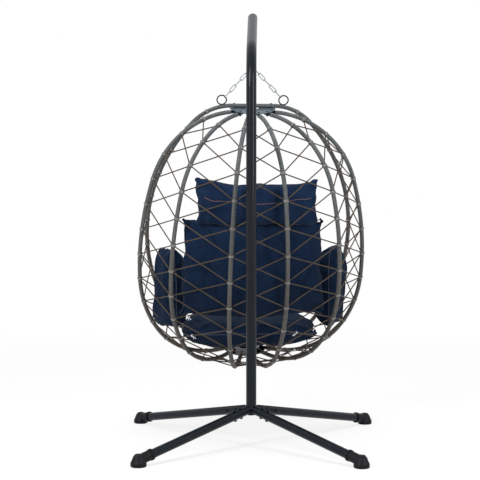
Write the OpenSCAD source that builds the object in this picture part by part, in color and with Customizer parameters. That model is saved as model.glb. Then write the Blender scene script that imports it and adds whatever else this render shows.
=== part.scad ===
/* [Stand] */
// Outer diameter of the post and its arm
post_d = 45; // [38:1:52]
// Wall of every tube of the stand
stand_wall = 1.5; // [1.2:0.1:2.5]
// Height at which the two halves of the post meet
joint_h = 868; // [700:1:1000]
// Length of the upper half's spigot inside the lower half
spigot_l = 110; // [60:1:160]
// Height at which the post starts to bend forward
bend_h = 1560; // [1540:1:1620]
// Radius of the bend, on the tube's axis
bend_r = 215; // [180:1:240]
// Angle that the post turns through
bend_a = 66.5; // [64:0.5:68]
// Distance from the post to the chair's hook
reach = 460; // [455:1:480]
// Distance from the post to the arm's tip
arm_tip = 530; // [520:1:570]

/* [Base] */
// Outer diameter of the legs
leg_d = 38; // [32:1:42]
// Height of the point where the legs' axes meet
hub_h = 162; // [150:1:190]
// Height of a leg's axis at its foot
foot_axis_h = 27; // [25:1:34]
// Distance from the post to the end of a rear leg
rear_leg = 630; // [560:1:700]
// Distance from the post to the end of a front leg
front_leg = 755; // [680:1:800]
// Diameter of a foot's pad
foot_d = 66; // [56:1:76]
// Clearance between a tube and what slides into it
slip = 0.3; // [0.2:0.05:0.5]

/* [Suspension] */
// Wire of the eye under the arm
eye_wire = 8; // [6:0.5:9]
// Wire of the spring's end hooks and of the lower hook
hook_wire = 6; // [5:0.5:6.5]
// Wire of the spring
spring_wire = 4; // [3:0.25:4.5]
// Mean radius of the spring's curls
spring_r = 13; // [12:0.5:14]
// Number of curls in the spring
spring_curls = 13; // [8:1:14]
// Wire of the chain
chain_wire = 4.5; // [3.5:0.25:5]
// Outer diameter of the ring on the hoop
ring_d = 50; // [46:1:56]
// Wire of the ring on the hoop
ring_wire = 6; // [5:0.5:7]
// Distance of each ring from the middle of the hoop
ring_x = 140; // [130:1:150]

/* [Basket] */
// Height of the hoop's top above the floor
hoop_h = 1512.5; // [1505:0.5:1520]
// Lean of the basket: its top goes back, its foot comes forward
lean = 19.8; // [17:0.1:23]
// Turn of the basket about the hook
yaw = 6.2; // [0:0.1:10]
// Outer diameter of the hoop's and the ribs' tube
tube_d = 16; // [14:0.5:18]
// Wall of that tube
tube_wall = 1.2; // [1:0.1:1.6]
// Thickness of the wicker wound on it
wrap_t = 2; // [1.5:0.1:2.5]
// Diameter of the net's rope
rope_d = 4.5; // [3.5:0.25:5.5]
// Half the width of the hoop, on the tube's axis
hoop_half_w = 492.6; // [485:0.5:500]
// Radius of the hoop's long sides
hoop_side_r = 822; // [800:1:850]
// Radius of the hoop's foot
hoop_base_r = 314; // [305:1:325]
// Angle of the hoop's crown arc, and of its side arc
hoop_crown_a = 47.4; // [46:0.1:49]
hoop_side_a = 81.3; // [80:0.1:83]
// Radii of a rib from the top down: crown, side, haunch and base
rib_crown_r = 398.5; // [390:0.5:405]
rib_side_r = 1387; // [1350:1:1420]
rib_haunch_r = 567; // [550:1:580]
rib_base_r = 391; // [385:0.5:400]
// Angles of the first three of those arcs
rib_crown_a = 71.98; // [70:0.01:73]
rib_side_a = 20.53; // [20:0.01:22]
rib_haunch_a = 30.87; // [29:0.01:32]
// Straight end of a rib under the top plate, beyond its bolt
rib_lead = 29; // [20:1:35]
// Angles of the ribs from the middle of the back
rib_a1 = 13.2; // [12:0.1:14]
rib_a2 = 43.15; // [41:0.1:45]
rib_a3 = 68.8; // [66:0.1:70]
// Radius of the circle of the rib bolts
bolt_circle = 92; // [88:1:98]
// Radius of the top and bottom plates
plate_r = 108; // [104:1:114]
// Thickness of those plates
plate_t = 3; // [2:0.5:4]

/* [Net] */
// Number of knots along each rib
knots = 13; // [11:1:13]
// Distance along a rib from its top bolt to its first knot, and between knots
rib_knot_0 = 160; // [150:1:170]
rib_knot_step = 124.5; // [118:0.5:125]
// The same along the hoop, from its top
hoop_knot_0 = 218; // [210:1:225]
hoop_knot_step = 125.5; // [120:0.5:126]

/* [Cushions] */
// Width, height and thickness of the head pillow
head_w = 560; // [520:5:580]
head_h = 175; // [150:5:180]
head_t = 110; // [90:5:120]
// Width, height and thickness of the back cushion
back_w = 700; // [640:5:720]
back_h = 430; // [400:5:440]
back_t = 120; // [100:5:130]
// Width, depth and thickness of the seat cushion
seat_w = 680; // [620:5:700]
seat_l = 540; // [500:5:560]
seat_t = 115; // [105:5:125]
// Height, width and thickness of an arm bolster
arm_h = 350; // [310:5:360]
arm_w = 250; // [220:5:260]
arm_t = 90; // [80:5:100]

/* [Hidden] */

steel_black = "#23262c";
zinc = "#a9b0b2";
wicker_grey = "#6d7478";
rope_tan = "#776c62";
plate_grey = "#5a6973";
navy = "#232d50";

gap = 0.15;            // between faces that are bolted together
seat_gap = 0.3;        // between round or soft pieces that rest on each other
smooth = 48;           // sides of a drawn circle
fine = 0.02;           // runs past a face that is cut
run_trim = 0.6;        // by which each run of a bent tube stops short of the next
weld_l = 2.4;          // length of the weld ring that joins two runs
weld_h = 0.05;         // height of that ring over the tube

// The origin lies in the middle of the floor area that the whole chair covers
post_y = -214;
post_r = post_d / 2;
hook_y = post_y + reach;

// ---- stand ------------------------------------------------------------------

post_foot = hub_h - 28;
bend_end_y = bend_r * (1 - cos(bend_a));
bend_end_z = bend_h + bend_r * sin(bend_a);
arm_rise = 90 - bend_a;
arm_l = (arm_tip - bend_end_y) / cos(arm_rise);
arm_z_at_hook = bend_end_z + (reach - bend_end_y) * tan(arm_rise);

module tube(l, d, wall) {
    difference() {
        cylinder(h = l, d = d, $fn = smooth);
        translate([0, 0, -fine]) cylinder(h = l + 2 * fine, d = d - 2 * wall, $fn = smooth);
    }
}

// Places a child that stands on the arm, its z along the arm, at a distance from the bend
module on_arm(along) {
    translate([0, post_y + bend_end_y, bend_end_z]) rotate([-bend_a, 0, 0])
        translate([0, 0, along]) children();
}

// The upper half's axis as one bar: post, bend and arm, joined by weld rings
module post_bar(bar_d, low) {
    translate([0, post_y, low]) cylinder(h = bend_h - low - run_trim, d = bar_d, $fn = smooth);
    translate([0, post_y, bend_h]) cylinder(h = weld_l, d = bar_d + 2 * weld_h, center = true, $fn = smooth);
    translate([0, post_y + bend_r, bend_h]) rotate([0, -90, 0]) rotate([0, 0, bend_trim - 90])
        rotate_extrude(angle = bend_a - 2 * bend_trim, $fn = 4 * smooth)
            translate([bend_r, 0]) circle(d = bar_d, $fn = smooth);
    on_arm(0) cylinder(h = weld_l, d = bar_d + 2 * weld_h, center = true, $fn = smooth);
}

// The spigot is swaged from the same tube, so its neck joins the two diameters
bend_trim = run_trim / bend_r * 180 / PI;
spigot_d = post_d - 2 * stand_wall - 2 * slip;
neck_l = 6;
module upper_post() {
    color(steel_black) difference() {
        union() {
            post_bar(post_d, joint_h);
            on_arm(run_trim) cylinder(h = arm_l - run_trim, d = post_d, $fn = smooth);
            translate([0, post_y, joint_h - spigot_l])
                cylinder(h = spigot_l + neck_l / 2, d = spigot_d, $fn = smooth);
        }
        post_bar(post_d - 2 * stand_wall, joint_h + neck_l);
        on_arm(run_trim) cylinder(h = arm_l, d = post_d - 2 * stand_wall, $fn = smooth);
        translate([0, post_y, joint_h - spigot_l - 5])
            cylinder(h = spigot_l + 20, d = spigot_d - 2 * stand_wall, $fn = smooth);
    }
}

// The hub is solid where the four stubs leave it, with a rounded foot
hub_solid = 52;
hub_edge = 4;
module lower_post() {
    color(steel_black) difference() {
        union() {
            translate([0, post_y, post_foot]) rotate_extrude($fn = smooth) polygon([
                [0, 0], [post_r - hub_edge, 0], [post_r, hub_edge], [post_r, joint_h - post_foot],
                [0, joint_h - post_foot]]);
            for (i = [0 : 3]) on_leg(i, 0) cylinder(h = stub_l, d = stub_d, $fn = smooth);
        }
        translate([0, post_y, post_foot + hub_solid])
            cylinder(h = joint_h, d = post_d - 2 * stand_wall, $fn = smooth);
        for (i = [0 : 3]) leg_bolt_places(i) cylinder(h = leg_d + 40, d = bolt_hole, center = true, $fn = 24);
    }
}

dome_h = 6;
module arm_cap() {
    dome_r = (post_r * post_r + dome_h * dome_h) / 2 / dome_h;
    color(steel_black) on_arm(arm_l) {
        translate([0, 0, -18]) cylinder(h = 19, d = spigot_d, $fn = smooth);
        translate([0, 0, gap]) intersection() {
            translate([0, 0, dome_h - dome_r]) sphere(r = dome_r, $fn = 4 * smooth);
            cylinder(h = dome_h + 1, d = post_d, $fn = smooth);
        }
    }
}

// ---- base: legs 0 rear left, 1 rear right, 2 front left, 3 front right -------

stub_d = leg_d - 2 * stand_wall - 2 * slip;
stub_l = 165;
leg_start = 42;
bolt_d = 8;
bolt_hole = bolt_d + 0.6;
leg_turn = [225, 315, 135, 45];

function leg_reach(i) = i < 2 ? rear_leg : front_leg;
function leg_drop(i) = atan((hub_h - foot_axis_h) / leg_reach(i));
function leg_len(i) = leg_reach(i) / cos(leg_drop(i));

// Places a child on a leg's axis, its z outward along the leg and its x downward
module on_leg(i, along) {
    translate([0, post_y, hub_h]) rotate([0, 0, leg_turn[i]]) rotate([0, 90 + leg_drop(i), 0])
        translate([0, 0, along]) children();
}

// Rear legs are bolted from below, front legs from the side; a child's z is the bolt's axis
module leg_bolt_places(i) {
    for (s = i < 2 ? [66, 102] : [80, 140])
        on_leg(i, s) rotate(i < 2 ? [0, -90, 0] : [i == 2 ? -90 : 90, 0, 0]) children();
}

module leg(i) {
    color(steel_black) difference() {
        on_leg(i, leg_start) tube(leg_len(i) - leg_start, leg_d, stand_wall);
        leg_bolt_places(i) cylinder(h = leg_d + 20, d = bolt_hole, center = true, $fn = 24);
    }
}

module foot(i) {
    sleeve_d = leg_d + 2 * slip + 5;
    difference() {
        color(steel_black) union() {
            on_leg(i, leg_len(i) - 62) cylinder(h = 62, d = sleeve_d, $fn = smooth);
            on_leg(i, leg_len(i) - 66) cylinder(h = 9, d = sleeve_d + 5, $fn = smooth);
            foot_pad(i) rotate_extrude($fn = 2 * smooth) polygon([
                [0, 0], [foot_d / 2 - 3, 0], [foot_d / 2, 3], [foot_d / 2, 16], [foot_d / 2 - 4, 24],
                [sleeve_d / 2, 42], [sleeve_d / 2 - 8, 51], [0, 54]]);
        }
        on_leg(i, 0) cylinder(h = leg_len(i) + seat_gap, d = leg_d + 2 * slip, $fn = smooth);
    }
}

module foot_pad(i) {
    translate([0, post_y, 0]) rotate([0, 0, leg_turn[i]]) translate([leg_reach(i) + 4, 0, 0]) children();
}

module leg_bolts() {
    color(zinc) for (i = [0 : 3]) leg_bolt_places(i) {
        cylinder(h = leg_d + 2 * gap + 8, d = bolt_d, center = true, $fn = 24);
        translate([0, 0, leg_d / 2 + seat_gap]) cylinder(h = 5, d = 14, $fn = 6);
        translate([0, 0, -leg_d / 2 - seat_gap - 5]) cylinder(h = 5, d = 14, $fn = 6);
    }
}

// ---- suspension: everything hangs on one line below the arm ------------------

eye_r = 13;
curl_steps = 8;         // rings of the spring's wire in one curl
curl_sides = 6;
eye_z = arm_z_at_hook - 51;
hook_r = 10.5;
// Top wire of the spring's hook runs through the eye, just above the eye's lower wire
swing_z = eye_z - eye_r + (eye_wire + hook_wire) / 2 + seat_gap;
spring_pitch = spring_wire + 0.45;
spring_len = spring_curls * spring_pitch + spring_wire;
spring_top_z = swing_z - 2 * hook_r - 12;
spring_bottom_z = spring_top_z - spring_len - 2 * seat_gap;
plug_r = (spring_r - spring_wire / 2) * cos(180 / curl_steps) - seat_gap;
swivel_wire = 6;
swivel_r = 10;
swivel_z = spring_bottom_z - 5 - swivel_wire / 2 - swivel_r - 1;
sway_z = swivel_z - swivel_r;
hook_len = 43;
hook_top_z = sway_z + (swivel_wire + hook_wire) / 2 + seat_gap;
hook_bottom_z = hook_top_z - hook_len;
shank_d = 8;

module at_hook(z) {
    translate([0, hook_y, z]) children();
}

// A ring of wire in the XZ plane
module ring(mean_r, wire) {
    rotate([90, 0, 0]) rotate_extrude($fn = 2 * smooth) translate([mean_r, 0]) circle(d = wire, $fn = 24);
}

// A long link of wire in the XZ plane, its length along z, its middle at the origin
module link(len, mean_r, wire) {
    run = len - 2 * mean_r;
    for (s = [0, 180]) rotate([0, s, 0]) {
        translate([0, 0, run / 2]) rotate([90, 0, 0])
            rotate_extrude(angle = 180, $fn = 2 * smooth) translate([mean_r, 0]) circle(d = wire, $fn = 24);
        translate([mean_r, 0, -run / 2]) cylinder(h = run, d = wire, $fn = 24);
    }
}

module hanging_eye() {
    color(steel_black) difference() {
        at_hook(eye_z) union() {
            rotate([0, 0, 90]) ring(eye_r, eye_wire);
            translate([0, 0, eye_r]) cylinder(h = 40, d = eye_wire + 4, $fn = 24);
        }
        on_arm(-20) cylinder(h = arm_l + 40, d = post_d, $fn = smooth);
        translate([-50, hook_y - 50, arm_z_at_hook]) cube([100, 100, 100]);
    }
}

module spring_top_hook() {
    color(zinc) {
        at_hook(swing_z - hook_r) ring(hook_r, hook_wire);
        at_hook(spring_top_z) rotate_extrude($fn = smooth) polygon([
            [0, -12], [plug_r, -12], [plug_r, 0], [spring_r + spring_wire / 2, 0],
            [spring_r + spring_wire / 2, 3], [hook_wire / 2 + 1, 3], [hook_wire / 2 + 1, 12], [0, 12]]);
    }
}

function curl_point(i, k) = let (a = 360 * i / curl_steps, b = 360 * k / curl_sides,
    r = spring_r + spring_wire / 2 * cos(b)) [r * cos(a), r * sin(a),
    spring_wire / 2 + spring_pitch * i / curl_steps + spring_wire / 2 * sin(b)];
curl_rings = spring_curls * curl_steps;
curl_gap = min([for (i = [0 : curl_steps - 1], k = [0 : 5], m = [0 : 5])
    norm(curl_point(i, k) - curl_point(i + curl_steps, m))]);
echo(spring_curl_gap = curl_gap);

module hanging_spring() {
    last = curl_rings * curl_sides;
    points = [for (i = [0 : curl_rings], k = [0 : curl_sides - 1]) curl_point(i, k)];
    sides = [for (i = [0 : curl_rings - 1], k = [0 : curl_sides - 1]) let (
        a = i * curl_sides + k, b = i * curl_sides + (k + 1) % curl_sides) each [
            [a, b, a + curl_sides], [b, b + curl_sides, a + curl_sides]]];
    ends = [for (k = [1 : curl_sides - 2]) each [[0, k + 1, k], [last, last + k, last + k + 1]]];
    color(zinc) at_hook(spring_bottom_z + seat_gap)
        polyhedron(points = points, faces = concat(sides, ends), convexity = 10);
}

module spring_end_plug() {
    color(zinc) at_hook(spring_bottom_z) difference() {
        union() {
            translate([0, 0, -3]) cylinder(h = 3, r = spring_r + spring_wire / 2, $fn = smooth);
            translate([0, 0, -fine]) cylinder(h = 14, r = plug_r, $fn = smooth);
        }
        translate([0, 0, -4]) cylinder(h = 30, d = shank_d + 0.12, $fn = 24);
        translate([0, 0, 6]) cylinder(h = 30, r = plug_r - 2, $fn = smooth);
    }
}

module swivel_eye() {
    color(zinc) {
        at_hook(swivel_z) rotate([0, 0, 90]) ring(swivel_r, swivel_wire);
        at_hook(swivel_z + swivel_r) cylinder(h = spring_bottom_z + 6 + seat_gap - swivel_z - swivel_r + fine,
            d = shank_d, $fn = 24);
        at_hook(spring_bottom_z + 6 + seat_gap) cylinder(h = 4, r = plug_r - 2 - 0.6, $fn = smooth);
    }
}

module lower_hook() {
    color(zinc) at_hook(hook_top_z - hook_len / 2) {
        link(hook_len, hook_r, hook_wire);
        translate([hook_r, 0, -8]) cylinder(h = 14, d = hook_wire + 3, $fn = 6);
    }
}

// Each chain runs from the lower hook to a ring on the hoop
chain_r = 6.5;
chain_links = 5;
chain_top = [3.5, 0, hook_bottom_z + (hook_wire + chain_wire) / 2 + seat_gap + 1.4];

function ring_centre(s) = [s * (ring_seat[0] + sin(ring_seat[2]) * ring_up), 0,
    ring_seat[1] + cos(ring_seat[2]) * ring_up];
ring_up = tube_d / 2 + ring_d / 2 - 1;
function lean_point(p) = [p[0], p[1] * cos(lean) - p[2] * sin(lean), p[1] * sin(lean) + p[2] * cos(lean)];
function yaw_point(p) = [p[0] * cos(yaw) - p[1] * sin(yaw), p[0] * sin(yaw) + p[1] * cos(yaw), p[2]];
function hung_point(p) = yaw_point(lean_point(p)) + [0, hook_y, hoop_h];

module chain(s) {
    top = [0, hook_y, 0] + [s * chain_top[0], 0, chain_top[2]];
    centre = hung_point(ring_centre(s));
    face = hung_point([0, 1, 0]) - hung_point([0, 0, 0]);
    flat = (top - centre) - face * ((top - centre) * face);
    seat = centre + flat / norm(flat) * (ring_d - ring_wire) / 2;
    foot = seat - (top - seat) / norm(top - seat) * ((ring_wire + chain_wire) / 2 + seat_gap);
    span = top - foot;
    total = norm(span);
    inner = (total + (chain_links - 1) * (chain_wire + seat_gap)) / chain_links;
    color(zinc) translate(foot) rotate([0, atan2(norm([span[0], span[1]]), span[2]), atan2(span[1], span[0])])
        for (i = [0 : chain_links - 1])
            translate([0, 0, inner / 2 + i * (inner - chain_wire - seat_gap)])
                rotate([0, 0, i % 2 == 0 ? 90 : 0]) link(inner, chain_r, chain_wire);
}

// ---- basket: drawn with the hoop's top at the origin, its back toward -Y -----

tube_r = tube_d / 2;
wrap_r = tube_r + seat_gap + wrap_t;
rib_z = -(2 * tube_r + plate_t + 2 * gap);
rib_base_a = 180 - rib_crown_a - rib_side_a - rib_haunch_a;

module hung() {
    translate([0, hook_y, hoop_h]) rotate([0, 0, yaw]) rotate([lean, 0, 0]) children();
}

// An outline is a list of runs [length, radius, rho, z, heading], radius 0 for a straight one.
// The heading is the angle below the horizontal, and rho the distance outward.
function run_end(r) = r[1] == 0 ? [r[2] + r[0] * cos(r[4]), r[3] - r[0] * sin(r[4]), r[4]] :
    let (h = r[4] + r[0] / r[1] * 180 / PI)
    [r[2] + r[1] * (sin(h) - sin(r[4])), r[3] - r[1] * (cos(r[4]) - cos(h)), h];
function along_run(r, s) = run_end([s, r[1], r[2], r[3], r[4]]);
function run_sum(runs, i = 0) = i >= len(runs) ? 0 : runs[i][0] + run_sum(runs, i + 1);
function outline_point(runs, s, i = 0) = (i == len(runs) - 1 || s <= runs[i][0]) ?
    along_run(runs[i], s) : outline_point(runs, s - runs[i][0], i + 1);
function arc(start, r, a) = [r * a * PI / 180, r, start[0], start[1], start[2]];
function straight(start, l) = [l, 0, start[0], start[1], start[2]];

rib_end = 14;
rib_1st = straight([bolt_circle - rib_end, rib_z, 0], rib_end + rib_lead);
rib_2nd = arc(run_end(rib_1st), rib_crown_r, rib_crown_a);
rib_3rd = arc(run_end(rib_2nd), rib_side_r, rib_side_a);
rib_4th = arc(run_end(rib_3rd), rib_haunch_r, rib_haunch_a);
rib_5th = arc(run_end(rib_4th), rib_base_r, rib_base_a);
rib_6th = straight(run_end(rib_5th), run_end(rib_5th)[0] - bolt_circle + rib_end);
rib_runs = [rib_1st, rib_2nd, rib_3rd, rib_4th, rib_5th, rib_6th];
rib_foot_z = run_end(rib_5th)[1];
foot_z = rib_foot_z + rib_z;
rib_l = run_sum(rib_runs);

hoop_base_a = 180 - hoop_crown_a - hoop_side_a;
hoop_side_drop = hoop_side_r * (cos(hoop_crown_a) - cos(hoop_crown_a + hoop_side_a));
hoop_base_drop = hoop_base_r * (cos(hoop_crown_a + hoop_side_a) + 1);
hoop_crown_r = (-foot_z - hoop_side_drop - hoop_base_drop) / (1 - cos(hoop_crown_a));
hoop_top_run = hoop_half_w - hoop_crown_r * sin(hoop_crown_a) - hoop_side_r * (1 - sin(hoop_crown_a));
hoop_1st = straight([-hoop_top_run, 0, 0], 2 * hoop_top_run);
hoop_2nd = arc(run_end(hoop_1st), hoop_crown_r, hoop_crown_a);
hoop_3rd = arc(run_end(hoop_2nd), hoop_side_r, hoop_side_a);
hoop_4th = arc(run_end(hoop_3rd), hoop_base_r, hoop_base_a);
hoop_5th = straight(run_end(hoop_4th), 2 * run_end(hoop_4th)[0]);
hoop_6th = arc(run_end(hoop_5th), hoop_base_r, hoop_base_a);
hoop_7th = arc(run_end(hoop_6th), hoop_side_r, hoop_side_a);
hoop_8th = arc(run_end(hoop_7th), hoop_crown_r, hoop_crown_a);
hoop_runs = [hoop_1st, hoop_2nd, hoop_3rd, hoop_4th, hoop_5th, hoop_6th, hoop_7th, hoop_8th];
function hoop_point(s) = outline_point(hoop_runs, s + hoop_top_run);
ring_seat = hoop_point(ring_x);

// One run of an outline as a round bar, in the XZ plane, drawn a little short at both ends
module run_bar(r, bar_r) {
    if (r[1] == 0) {
        if (r[0] > 2 * run_trim) translate([r[2], 0, r[3]]) rotate([0, 90 + r[4], 0])
            translate([0, 0, run_trim]) cylinder(h = r[0] - 2 * run_trim, r = bar_r, $fn = smooth);
    } else {
        a = (r[0] - 2 * run_trim) / r[1] * 180 / PI;
        translate([r[2] - r[1] * sin(r[4]), 0, r[3] - r[1] * cos(r[4])])
            rotate([90, 0, 0]) rotate([0, 0, 90 - r[4] - a - run_trim / r[1] * 180 / PI])
                rotate_extrude(angle = a, $fn = 4 * smooth) translate([r[1], 0]) circle(r = bar_r, $fn = smooth);
    }
}

// The weld ring that joins the end of each run to the next
module run_weld(r, bar_r) {
    e = run_end(r);
    translate([e[0], 0, e[1]]) rotate([0, 90 + e[2], 0])
        cylinder(h = weld_l, r = bar_r + weld_h, center = true, $fn = smooth);
}

// A whole outline as one round bar; a closed one is joined at its last run too
module run_bars(runs, bar_r, closed) {
    for (r = runs) run_bar(r, bar_r);
    for (k = [0 : len(runs) - (closed ? 1 : 2)]) run_weld(runs[k], bar_r);
}

// A whole outline as a tube, open at its ends
module run_tubes(runs, outer_r, inner_r, closed = false) {
    difference() {
        run_bars(runs, outer_r, closed);
        run_bars(runs, inner_r, closed);
    }
}

rib_angle = [-rib_a3, -rib_a2, -rib_a1, rib_a1, rib_a2, rib_a3];

// Turns a child drawn in the XZ plane to the place of a rib
module at_rib(i) {
    hung() rotate([0, 0, rib_angle[i] - 90]) children();
}

module rib(i) {
    color(steel_black) at_rib(i) difference() {
        run_tubes(rib_runs, tube_r, tube_r - tube_wall);
        for (z = [rib_z, rib_foot_z]) translate([bolt_circle, 0, z])
            cylinder(h = 2 * tube_d, d = rib_bolt_d + 0.5, center = true, $fn = 24);
    }
}

// Distance from a rib's bolt at which its wicker starts
wrap_start = 22;
module rib_wrap(i) {
    first = straight([bolt_circle + wrap_start, rib_z, 0], rib_lead - wrap_start);
    last = straight([rib_6th[2], rib_6th[3], 180], rib_6th[0] - rib_end - wrap_start);
    color(wicker_grey) at_rib(i)
        run_tubes([first, rib_2nd, rib_3rd, rib_4th, rib_5th, last], wrap_r, tube_r + seat_gap);
}

module hoop() {
    color(steel_black) hung() difference() {
        run_tubes(hoop_runs, tube_r, tube_r - tube_wall, true);
        hoop_bolt_places() cylinder(h = 3 * tube_d, d = rib_bolt_d + 0.5, center = true, $fn = 24);
    }
}

hoop_bare = plate_r + 12;
module hoop_wrap() {
    color(wicker_grey) hung() difference() {
        run_tubes(hoop_runs, wrap_r, tube_r + seat_gap, true);
        for (z = [0, foot_z]) translate([-hoop_bare, -30, z - 40]) cube([2 * hoop_bare, 60, 80]);
    }
}

// Half-round fan between the hoop and the ribs, with a tab under the hoop's straight run
module plate_shape(tab, bolt_x) {
    difference() {
        intersection() {
            circle(r = plate_r, $fn = 4 * smooth);
            union() {
                translate([-plate_r, -plate_r]) square([2 * plate_r, plate_r - tube_r - seat_gap]);
                translate([-tab, -plate_r]) square([2 * tab, plate_r + tube_r]);
            }
        }
        circle(r = 30, $fn = 2 * smooth);
        for (a = rib_angle) rotate(a - 90) translate([bolt_circle, 0]) circle(d = rib_bolt_d + 0.5, $fn = 24);
        for (x = [-bolt_x, 0, bolt_x]) translate([x, 0]) circle(d = rib_bolt_d + 0.5, $fn = 24);
    }
}

module top_plate() {
    color(plate_grey) hung() translate([0, 0, -tube_r - gap - plate_t])
        linear_extrude(plate_t) plate_shape(hoop_top_run - 1, top_bolt_x);
}

module bottom_plate() {
    color(plate_grey) hung() translate([0, 0, foot_z + tube_r + gap])
        linear_extrude(plate_t) plate_shape(hoop_foot_run - 1, foot_bolt_x);
}

rib_bolt_d = 6;
head_d = 11;
head_t_bolt = 4;
hoop_foot_run = run_end(hoop_4th)[0];
top_bolt_x = hoop_top_run - 10;
foot_bolt_x = hoop_foot_run - 10;

module hoop_bolt_places() {
    for (k = [-1, 0, 1]) {
        translate([k * top_bolt_x, 0, 0]) children();
        translate([k * foot_bolt_x, 0, foot_z]) mirror([0, 0, 1]) children();
    }
}

// A bolt with its head at the top and its nut below, between two heights
module bolt(low, high) {
    translate([0, 0, low]) cylinder(h = high - low, d = rib_bolt_d, $fn = 24);
    translate([0, 0, high]) cylinder(h = head_t_bolt, d = head_d, $fn = 6);
    translate([0, 0, low - head_t_bolt]) cylinder(h = head_t_bolt, d = head_d, $fn = 6);
}

module hoop_bolts() {
    color(zinc) hung() hoop_bolt_places()
        bolt(-tube_r - gap - plate_t - gap, tube_r + gap);
}

module rib_bolts(z, flip) {
    color(zinc) hung() for (a = rib_angle) rotate([0, 0, a - 90]) translate([bolt_circle, 0, z])
        mirror([0, 0, flip]) bolt(-tube_r - gap, tube_r + 2 * gap + plate_t);
}

// Ring welded on the hoop, cut to sit on the tube
module hoop_ring(s) {
    color(steel_black) hung() difference() {
        translate(ring_centre(s)) ring(ring_d / 2 - ring_wire / 2, ring_wire);
        mirror([s < 0 ? 1 : 0, 0, 0]) translate([ring_seat[0], 0, ring_seat[1]]) rotate([0, 90 + ring_seat[2], 0])
            cylinder(h = ring_d, r = wrap_r + seat_gap, center = true, $fn = smooth);
    }
}

// ---- net: two families of straight ropes cross in every bay -----------------

rope_r = rope_d / 2;
member_angle = concat([-90], rib_angle, [90]);
function knot_s(m, k) = (m == 0 || m == 7) ? hoop_knot_0 + hoop_knot_step * k : rib_knot_0 + rib_knot_step * k;
function member_flat(m, k) = (m == 0 || m == 7) ? hoop_point(knot_s(m, k)) :
    outline_point(rib_runs, knot_s(m, k) + rib_end);
function out_dir(m) = [sin(member_angle[m]), -cos(member_angle[m]), 0];
function knot(m, k) = let (p = member_flat(m, k)) out_dir(m) * p[0] + [0, 0, p[1]];
function tangent(m, k) = let (p = member_flat(m, k)) out_dir(m) * cos(p[2]) + [0, 0, -sin(p[2])];
function outward(m, k) = let (p = member_flat(m, k)) out_dir(m) * sin(p[2]) + [0, 0, cos(p[2])];
function unit(v) = v / norm(v);

// Length of rope that lies inside a member's wicker, for a rope at an angle to it
function inside(cosine, clear) = let (sine = sqrt(1 - cosine * cosine))
    (wrap_r + clear + rope_r * abs(cosine)) / sine;

module rope(m, k0, k1) {
    rise = (k1 > k0 ? 1 : -1) * (rope_r + 0.15);
    a = knot(m, k0) + outward(m, k0) * rise;
    b = knot(m + 1, k1) + outward(m + 1, k1) * rise;
    d = unit(b - a);
    clear = (m == 0 || m == 6) ? 6 * seat_gap : 1.5 * seat_gap;
    start = a + d * inside(d * tangent(m, k0), clear);
    l = norm(b - a) - inside(d * tangent(m, k0), clear) - inside(d * tangent(m + 1, k1), clear);
    translate(start) rotate([0, acos(d[2]), atan2(d[1], d[0])]) cylinder(h = l, r = rope_r, $fn = 16);
}

module net(m) {
    beside_hoop = m == 0 || m == 6;
    color(rope_tan) hung() for (k = [0 : knots - (beside_hoop ? 3 : 2)]) {
        rope(m, k, k + 1);
        rope(m, k + 1, k);
    }
}

// ---- soft goods ---------------------------------------------------------------

pillow_n = 12;

// A stuffed case of width w and height h: thickest in the middle, thin at the seam, its sides drawn
// in between the corners; disc rounds its corners off, and curl bends it about an upright axis
// that lies in front of it.
function puff(u, v) = pow(max(0, (1 - pow(abs(u), 4)) * (1 - pow(abs(v), 4))), 0.5);
function case_point(u, v, side, w, h, t, draw, disc, curl) = let (
    x = u * w / 2 * (1 - draw * (1 - v * v)) * sqrt(1 - disc * v * v / 2),
    z = v * h / 2 * (1 - draw * (1 - u * u)) * sqrt(1 - disc * u * u / 2),
    y = side * t / 2 * (0.06 + 0.94 * puff(u, v)),
    r = curl - y) curl == 0 ? [x, y, z] : [r * sin(x / curl * 180 / PI), curl - r * cos(x / curl * 180 / PI), z];

module case(w, h, t, draw, disc, curl) {
    n = pillow_n;
    m = n + 1;
    rows = [for (j = [0 : n], i = [0 : n]) [sin(90 * (2 * i / n - 1)), sin(90 * (2 * j / n - 1))]];
    points = concat([for (q = rows) case_point(q[0], q[1], 1, w, h, t, draw, disc, curl)],
        [for (q = rows) case_point(q[0], q[1], -1, w, h, t, draw, disc, curl)]);
    front = [for (j = [0 : n - 1], i = [0 : n - 1]) let (a = j * m + i) each [[a, a + 1, a + m], [a + 1, a + m + 1, a + m]]];
    back = [for (f = front) [f[0] + m * m, f[2] + m * m, f[1] + m * m]];
    edge = concat([for (i = [0 : n - 1]) i], [for (j = [0 : n - 1]) j * m + n],
        [for (i = [n : -1 : 1]) n * m + i], [for (j = [n : -1 : 1]) j * m]);
    rim = [for (i = [0 : len(edge) - 1]) let (a = edge[i], b = edge[(i + 1) % len(edge)]) each [
        [a, a + m * m, b], [b, a + m * m, b + m * m]]];
    polyhedron(points = points, faces = concat(front, back, rim), convexity = 6);
}

// Places a soft piece in the basket: a point of its back and its tilt from upright
module in_basket(x, y, z, tilt, turn) {
    translate([0, hook_y, hoop_h]) rotate([0, 0, yaw]) translate([x, y, z]) rotate([0, 0, turn])
        rotate([tilt, 0, 0]) children();
}

module head_pillow() {
    color(navy) in_basket(0, -262, -436, 6, 0) case(head_w, head_h, head_t, 0.06, 0, 900);
}

module back_cushion() {
    color(navy) in_basket(-12, -194, -746, 6, 0) case(back_w, back_h, back_t, 0.05, 0, 640);
}

module seat_cushion() {
    color(navy) in_basket(0, 184, -1068, 98, 0) case(seat_w, seat_l, seat_t, 0.02, 0.75, 0);
}

module arm_bolster(s) {
    color(navy) in_basket(s * 390, 68, -850, 0, s * 68) case(arm_w, arm_h, arm_t, 0.04, 0.5, 0);
}

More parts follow.
